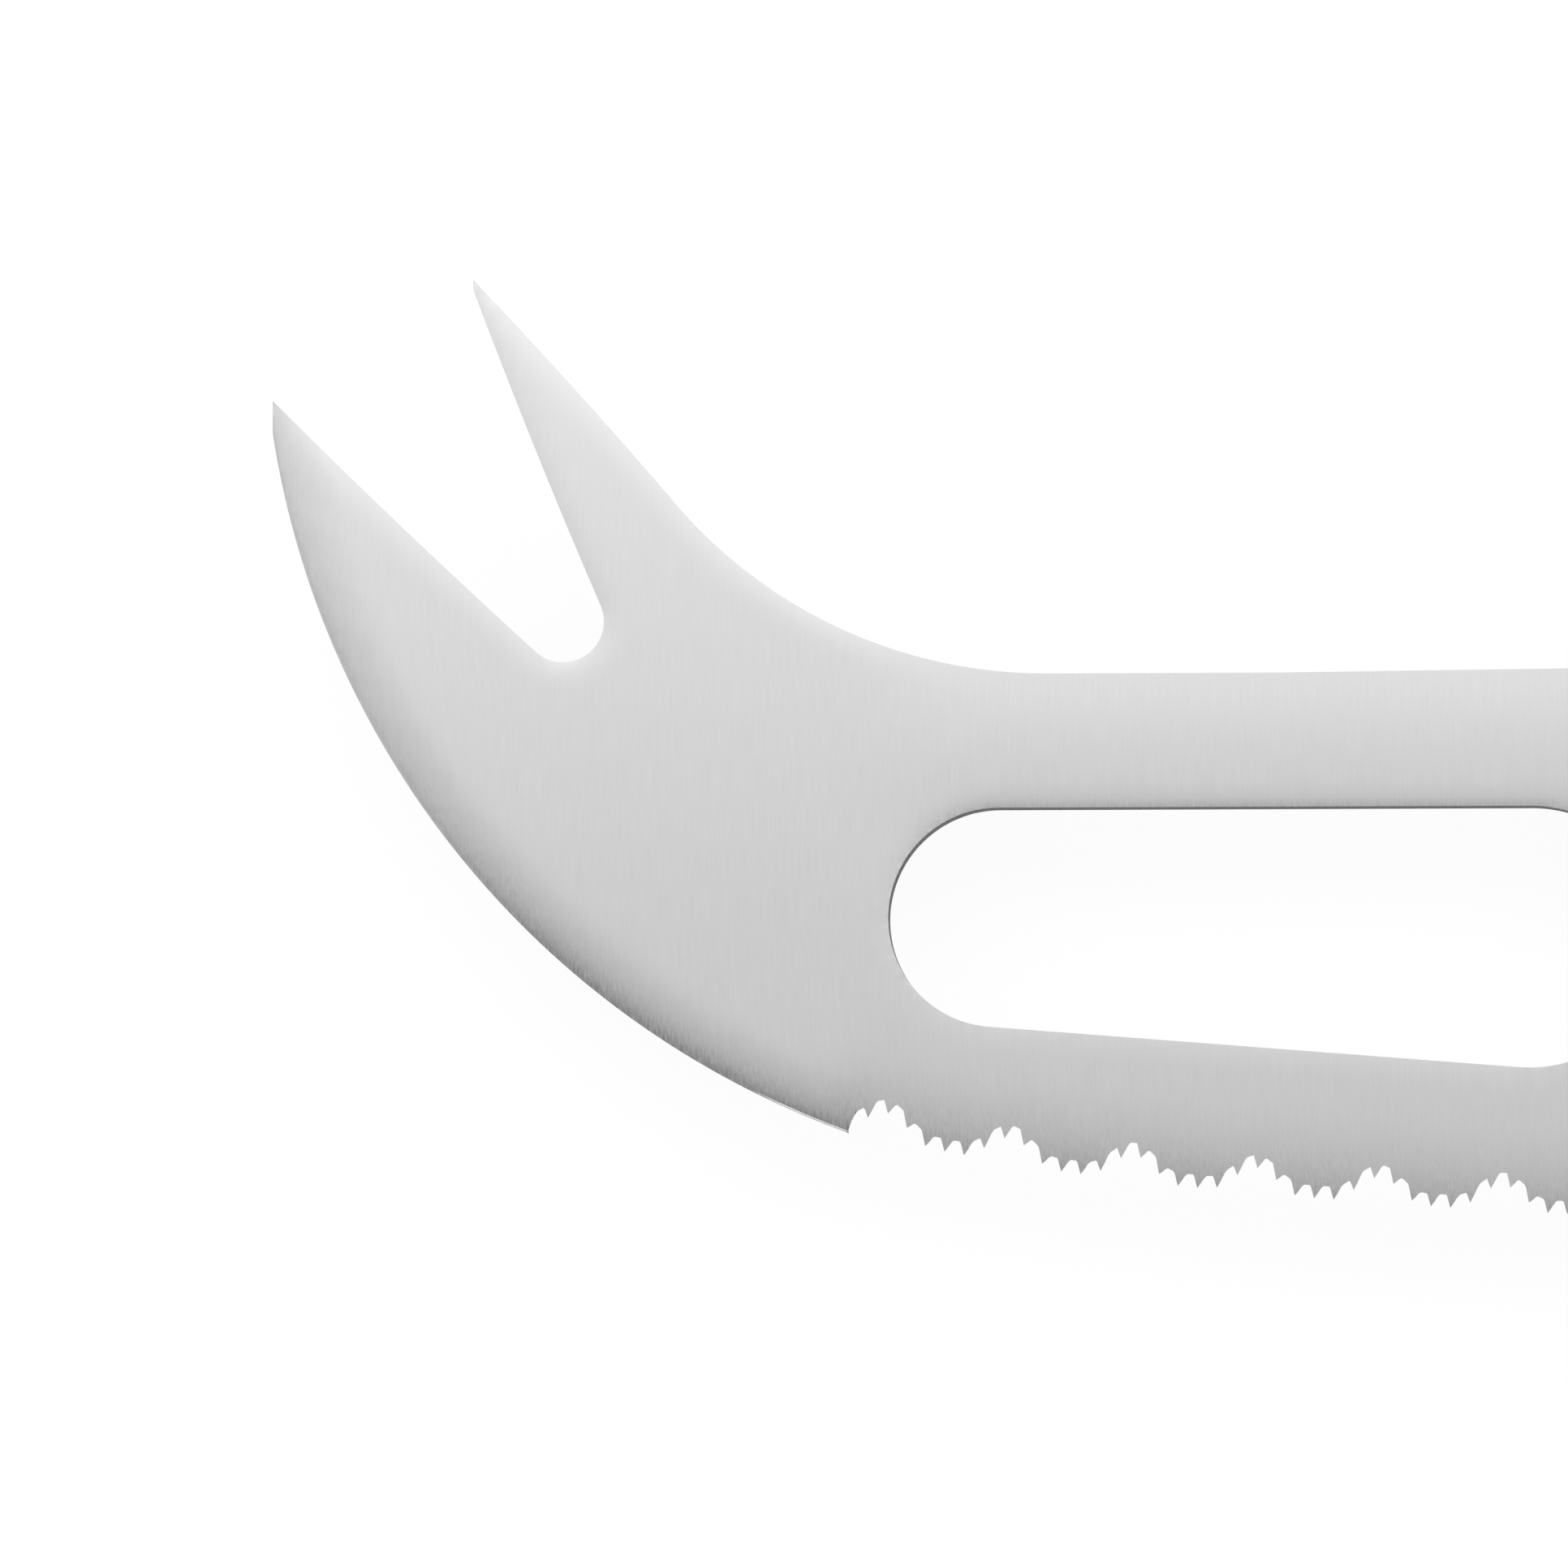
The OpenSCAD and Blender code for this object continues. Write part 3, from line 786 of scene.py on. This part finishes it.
def dress_bolster(settings):
    steel = brushed_steel(
        "satin_bolster_steel", tuple(settings.bolster_colour), settings.bolster_roughness,
        line_width=0.08 * MM, line_length=3.0 * MM, relief=0.2,
    )
    for side in ("left", "right"):
        eased_piece(f"bolster_{side}", f"bolster_cheek_{side}", steel, settings.edge_break, HOLE_AIR)


def dress_scales(settings):
    plastic = moulded_plastic(
        "black_scale_plastic", tuple(settings.scale_colour), settings.scale_roughness, settings.grain,
    )
    for side in ("left", "right"):
        eased_piece(f"scale_{side}", f"handle_scale_{side}", plastic, settings.edge_break, HOLE_AIR)


def dress_rivets(settings):
    steel = brushed_steel(
        "fine_rivet_steel", tuple(settings.rivet_colour), settings.rivet_roughness,
        line_width=0.06 * MM, line_length=1.6 * MM, relief=0.12,
    )
    for place in RIVET_PLACES:
        for half in ("male", "female"):
            node = f"rivet_{place}_{half}"
            eased_piece(node, f"{node}_half", steel, settings.rivet_edge, air=0.0)
    eased_piece("bolster_pins", "bolster_pin_pair", steel, settings.rivet_edge, air=0.0)


# Studio


def add_floor(settings):
    """A round floor that curves up into a low wall far behind the knife."""
    mesh = bmesh.new()
    bmesh.ops.create_circle(mesh, cap_ends=True, radius=settings.floor_radius, segments=FLOOR_SEGMENTS)
    rim = [e for e in mesh.edges if e.is_boundary]
    for rise, spread in FLOOR_STEPS:
        grown = bmesh.ops.extrude_edge_only(mesh, edges=rim)["geom"]
        rim = [g for g in grown if isinstance(g, bmesh.types.BMEdge) and g.is_boundary]
        corners = {v for e in rim for v in e.verts}
        for vert in corners:
            out = Vector((vert.co.x, vert.co.y, 0.0)).normalized()
            vert.co += out * spread + Vector((0.0, 0.0, rise))
    bmesh.ops.translate(mesh, verts=mesh.verts, vec=(0.0, 0.0, CAD_BOX[0].z - FLOOR_GAP))
    bmesh.ops.recalc_face_normals(mesh, faces=mesh.faces)
    for face in mesh.faces:
        face.smooth = True
    data = bpy.data.meshes.new("studio_floor")
    mesh.to_mesh(data)
    mesh.free()
    data.materials.append(studio_floor("pale_floor", settings.floor_white))
    floor = bpy.data.objects.new("studio_floor", data)
    bpy.context.scene.collection.objects.link(floor)


def add_softbox(settings):
    """A long softbox over the spine side, which makes the blade brightest at its spine."""
    lamp = bpy.data.lights.new("softbox_overhead", "AREA")
    lamp.shape = "RECTANGLE"
    lamp.size, lamp.size_y = settings.softbox_width, settings.softbox_depth
    lamp.energy = settings.softbox_level * pi * lamp.size * lamp.size_y
    box = bpy.data.objects.new("softbox_overhead", lamp)
    box.location = (0.0, settings.softbox_edge + settings.softbox_depth / 2, settings.softbox_height)
    box.visible_camera = False
    bpy.context.scene.collection.objects.link(box)


def add_room_light(level):
    world = bpy.data.worlds.new("studio_room")
    world.use_nodes = True
    world.node_tree.nodes["Background"].inputs["Color"].default_value = (*grey(level), 1.0)
    bpy.context.scene.world = world


def add_camera(settings):
    """Looks down on the blade's left face, from a little behind the tip and below the edge."""
    lens = bpy.data.cameras.new("photo_camera")
    camera = bpy.data.objects.new("photo_camera", lens)
    aim = Vector((TIP_X + settings.aim_back, SPINE_Y - settings.aim_down, BLADE_HIGH.z))
    back = Vector((settings.lean_back, -settings.lean_down, 1.0)).normalized()
    lens.sensor_width = SENSOR_WIDTH
    lens.lens = lens.sensor_width * settings.distance / settings.frame_width
    camera.location = aim + back * settings.distance
    camera.rotation_mode = "QUATERNION"
    camera.rotation_quaternion = Vector((0.0, 0.0, 1.0)).rotation_difference(back)
    lens.clip_start, lens.clip_end = CLIPPING
    bpy.context.scene.collection.objects.link(camera)
    bpy.context.scene.camera = camera


# Settings that a user would change


class BladeSettings(bpy.types.PropertyGroup):
    cell: FloatProperty(
        name="Cell", description="Size of the cells that the blade's faces are cut into",
        default=0.6 * MM, min=0.3 * MM, unit="LENGTH")
    tip_round: FloatProperty(
        name="Tip round", description="Size of the round corners of the upper tine's tip",
        default=0.15 * MM, min=0.0, unit="LENGTH")
    valley_round: FloatProperty(
        name="Valley round", description="Size of the rounds in the valleys between the teeth",
        default=0.12 * MM, min=0.0, unit="LENGTH")
    roll_width: FloatProperty(
        name="Roll-over width", description="How far from the stamped edges the face starts to fall",
        default=1.3 * MM, min=0.0, unit="LENGTH")
    roll_depth: FloatProperty(
        name="Roll-over depth", description="How far the face has fallen at the stamped edges",
        default=0.06 * MM, min=0.0, unit="LENGTH")
    grind_start_width: FloatProperty(
        name="Grind start", description="Half the width over which the side grind starts",
        default=8.0 * MM, min=0.0, unit="LENGTH")
    bevel_run_out: FloatProperty(
        name="Bevel run-out", description="How far past the corner the plain edge's bevel fades out",
        default=2.5 * MM, min=0.1 * MM, unit="LENGTH")
    strip_crown: FloatProperty(
        name="Strip crown", description="How far the strip over the windows falls towards its edges",
        default=0.09 * MM, min=0.0, unit="LENGTH")
    crown_width: FloatProperty(
        name="Crown width", description="How far over the tooth tips the left face starts to fall",
        default=5.0 * MM, min=0.0, unit="LENGTH")
    crown_depth: FloatProperty(
        name="Crown depth", description="How far the left face has fallen at the tooth tips",
        default=0.34 * MM, min=0.0, unit="LENGTH")
    colour: FloatVectorProperty(
        name="Steel", description="Colour of the satin steel", subtype="COLOR", size=3,
        default=grey(0.62), min=0.0, max=1.0)
    roughness: FloatProperty(
        name="Roughness", description="Roughness of the satin faces", default=0.42, min=0.0, max=1.0)
    line_contrast: FloatProperty(
        name="Line contrast", description="How much the grinding lines differ in shade",
        default=0.16, min=0.0)
    # These settings paint shade along the edges and over the windows, broken into streaks
    painted_edge_shade: FloatProperty(
        name="Scuffs", description="How strongly the scuffs along the edge show", default=1.0, min=0.0)
    shade_streak_contrast: FloatProperty(
        name="Scuff contrast", description="How much the scuffs differ from line to line",
        default=1.7, min=0.0)
    belly_shade: FloatProperty(
        name="Belly scuff", description="How much the scuffs darken the plain edge",
        default=0.55, min=0.0, max=1.0, subtype="FACTOR")
    belly_fade: FloatProperty(
        name="Belly fade", description="Distance over which the plain edge's scuffs fade",
        default=1.0 * MM, min=0.1 * MM, unit="LENGTH")
    window_shade: FloatProperty(
        name="Window scuff", description="How much the face darkens over the windows",
        default=0.25, min=0.0, max=1.0, subtype="FACTOR")
    window_fade: FloatProperty(
        name="Window fade", description="Distance over which that darkening fades",
        default=0.35 * MM, min=0.1 * MM, unit="LENGTH")
    # Strength of the painted highlight along the fine bevel
    painted_bevel_highlight: FloatProperty(
        name="Bright line", description="How much brighter the fine bevel shows next to the corner",
        default=0.8, min=0.0)
    teeth_shade: FloatProperty(
        name="Teeth scuff", description="How much the scuffs darken the serrated edge",
        default=0.36, min=0.0, max=1.0, subtype="FACTOR")
    teeth_fade: FloatProperty(
        name="Teeth fade", description="Distance over which the serrated edge's scuffs fade",
        default=2.0 * MM, min=0.1 * MM, unit="LENGTH")
    line_width: FloatProperty(
        name="Line width", description="Width of the grinding lines", default=0.09 * MM, unit="LENGTH")
    line_length: FloatProperty(
        name="Line length", description="Length of the grinding lines", default=2.6 * MM, unit="LENGTH")
    line_lean: FloatProperty(
        name="Line lean", description="How fast the grinding lines lean over towards the edge", default=-1.0)
    # The walls' darker colour and grazing tint: partly their dull finish, partly painted shade
    wall_dull_and_shade: FloatProperty(
        name="Wall shade", description="Brightness of the stamped walls beside the faces",
        default=0.6, min=0.0, max=1.0, subtype="FACTOR")
    wall_grazing_shade: FloatProperty(
        name="Wall at a low angle", description="Brightness of the stamped walls when seen at a low angle",
        default=0.05, min=0.0, max=1.0, subtype="FACTOR")


class HandleSettings(bpy.types.PropertyGroup):
    edge_break: FloatProperty(
        name="Edge break", description="Width of the small round on the handle's edges",
        default=0.12 * MM, min=0.0, unit="LENGTH")
    rivet_edge: FloatProperty(
        name="Rivet edge", description="Width of the small round on rivets and pins",
        default=0.08 * MM, min=0.0, unit="LENGTH")
    scale_colour: FloatVectorProperty(
        name="Scales", description="Colour of the handle scales", subtype="COLOR", size=3,
        default=(0.014, 0.014, 0.015), min=0.0, max=1.0)
    scale_roughness: FloatProperty(
        name="Scale roughness", description="Roughness of the moulded scales", default=0.36, min=0.0, max=1.0)
    grain: FloatProperty(
        name="Grain", description="Size of the mould's spark texture", default=0.25 * MM, unit="LENGTH")
    bolster_colour: FloatVectorProperty(
        name="Bolster", description="Colour of the bolster", subtype="COLOR", size=3,
        default=grey(0.58), min=0.0, max=1.0)
    bolster_roughness: FloatProperty(
        name="Bolster roughness", description="Roughness of the bolster", default=0.28, min=0.0, max=1.0)
    rivet_colour: FloatVectorProperty(
        name="Rivets", description="Colour of the rivets and pins", subtype="COLOR", size=3,
        default=grey(0.64), min=0.0, max=1.0)
    rivet_roughness: FloatProperty(
        name="Rivet roughness", description="Roughness of the rivets", default=0.24, min=0.0, max=1.0)


class StudioSettings(bpy.types.PropertyGroup):
    floor_radius: FloatProperty(
        name="Floor radius", description="How far the floor reaches", default=14.0, unit="LENGTH")
    floor_white: FloatProperty(
        name="Floor white", description="How much of the floor looks white whatever the light",
        default=0.86, min=0.0, max=1.0, subtype="FACTOR")
    room_level: FloatProperty(
        name="Room level", description="Brightness of the room round the softbox", default=0.79, min=0.0)
    softbox_width: FloatProperty(
        name="Softbox width", description="Size of the softbox along the knife", default=2.0, unit="LENGTH")
    softbox_depth: FloatProperty(
        name="Softbox depth", description="Size of the softbox across the knife", default=0.15, unit="LENGTH")
    softbox_height: FloatProperty(
        name="Softbox height", description="Height of the softbox over the floor", default=0.2, unit="LENGTH")
    softbox_edge: FloatProperty(
        name="Softbox edge", description="How far over the spine side the softbox starts",
        default=0.05, unit="LENGTH")
    softbox_level: FloatProperty(
        name="Softbox level", description="Brightness of the softbox", default=1.2, min=0.0)
    distance: FloatProperty(
        name="Camera distance", description="Distance from the camera to the blade",
        default=3.5, unit="LENGTH")
    frame_width: FloatProperty(
        name="Frame width", description="Width of what the camera sees at the blade",
        default=96.149 * MM, unit="LENGTH")
    aim_back: FloatProperty(
        name="Aim behind the tip",
        description="Distance from the lower tine's tip back to the picture's middle",
        default=31.624 * MM, unit="LENGTH")
    aim_down: FloatProperty(
        name="Aim below the spine", description="Distance from the spine down to the picture's middle",
        default=6.758 * MM, unit="LENGTH")
    lean_back: FloatProperty(
        name="Lean back", description="How far the camera leans towards the handle, per unit of height",
        default=0.078)
    lean_down: FloatProperty(
        name="Lean down", description="How far the camera leans towards the edge, per unit of height",
        default=0.1)


# Operators


class KNIFE_OT_blade(bpy.types.Operator):
    """Gives the blade its satin faces, stamped walls and ground edges"""

    bl_idname = "knife.blade"
    bl_label = "Finish the blade"

    def execute(self, context):
        dress_blade(context.scene.knife_blade)
        return {"FINISHED"}


class KNIFE_OT_bolster(bpy.types.Operator):
    """Gives both bolster cheeks their satin steel"""

    bl_idname = "knife.bolster"
    bl_label = "Finish the bolster"

    def execute(self, context):
        dress_bolster(context.scene.knife_handle)
        return {"FINISHED"}


class KNIFE_OT_scales(bpy.types.Operator):
    """Gives both handle scales their moulded black plastic"""

    bl_idname = "knife.scales"
    bl_label = "Finish the handle scales"

    def execute(self, context):
        dress_scales(context.scene.knife_handle)
        return {"FINISHED"}


class KNIFE_OT_rivets(bpy.types.Operator):
    """Gives the rivets and the bolster pins their fine steel"""

    bl_idname = "knife.rivets"
    bl_label = "Finish the rivets and pins"

    def execute(self, context):
        dress_rivets(context.scene.knife_handle)
        return {"FINISHED"}


class KNIFE_OT_stage(bpy.types.Operator):
    """Adds the floor, the lights and the camera"""

    bl_idname = "knife.stage"
    bl_label = "Set up the studio"

    def execute(self, context):
        settings = context.scene.knife_studio
        context.scene.view_settings.view_transform = "Standard"
        add_floor(settings)
        add_room_light(settings.room_level)
        add_softbox(settings)
        add_camera(settings)
        return {"FINISHED"}


class KNIFE_PT_panel(bpy.types.Panel):
    bl_idname = "KNIFE_PT_panel"
    bl_label = "Cheese knife"
    bl_space_type = "VIEW_3D"
    bl_region_type = "UI"
    bl_category = "Knife"

    def draw(self, context):
        for group, operators in (
            (context.scene.knife_blade, (KNIFE_OT_blade,)),
            (context.scene.knife_handle, (KNIFE_OT_bolster, KNIFE_OT_scales, KNIFE_OT_rivets)),
            (context.scene.knife_studio, (KNIFE_OT_stage,)),
        ):
            box = self.layout.box()
            for name in group.__annotations__:
                box.prop(group, name)
            for operator in operators:
                box.operator(operator.bl_idname)


CLASSES = (
    BladeSettings, HandleSettings, StudioSettings,
    KNIFE_OT_blade, KNIFE_OT_bolster, KNIFE_OT_scales, KNIFE_OT_rivets, KNIFE_OT_stage,
    KNIFE_PT_panel,
)


def register():
    for cls in CLASSES:
        bpy.utils.register_class(cls)
    bpy.types.Scene.knife_blade = PointerProperty(type=BladeSettings)
    bpy.types.Scene.knife_handle = PointerProperty(type=HandleSettings)
    bpy.types.Scene.knife_studio = PointerProperty(type=StudioSettings)


def unregister():
    del bpy.types.Scene.knife_studio
    del bpy.types.Scene.knife_handle
    del bpy.types.Scene.knife_blade
    for cls in reversed(CLASSES):
        bpy.utils.unregister_class(cls)


def main():
    register()
    bpy.ops.knife.blade()
    bpy.ops.knife.bolster()
    bpy.ops.knife.scales()
    bpy.ops.knife.rivets()
    bpy.ops.knife.stage()


if __name__ == "__main__":
    main()
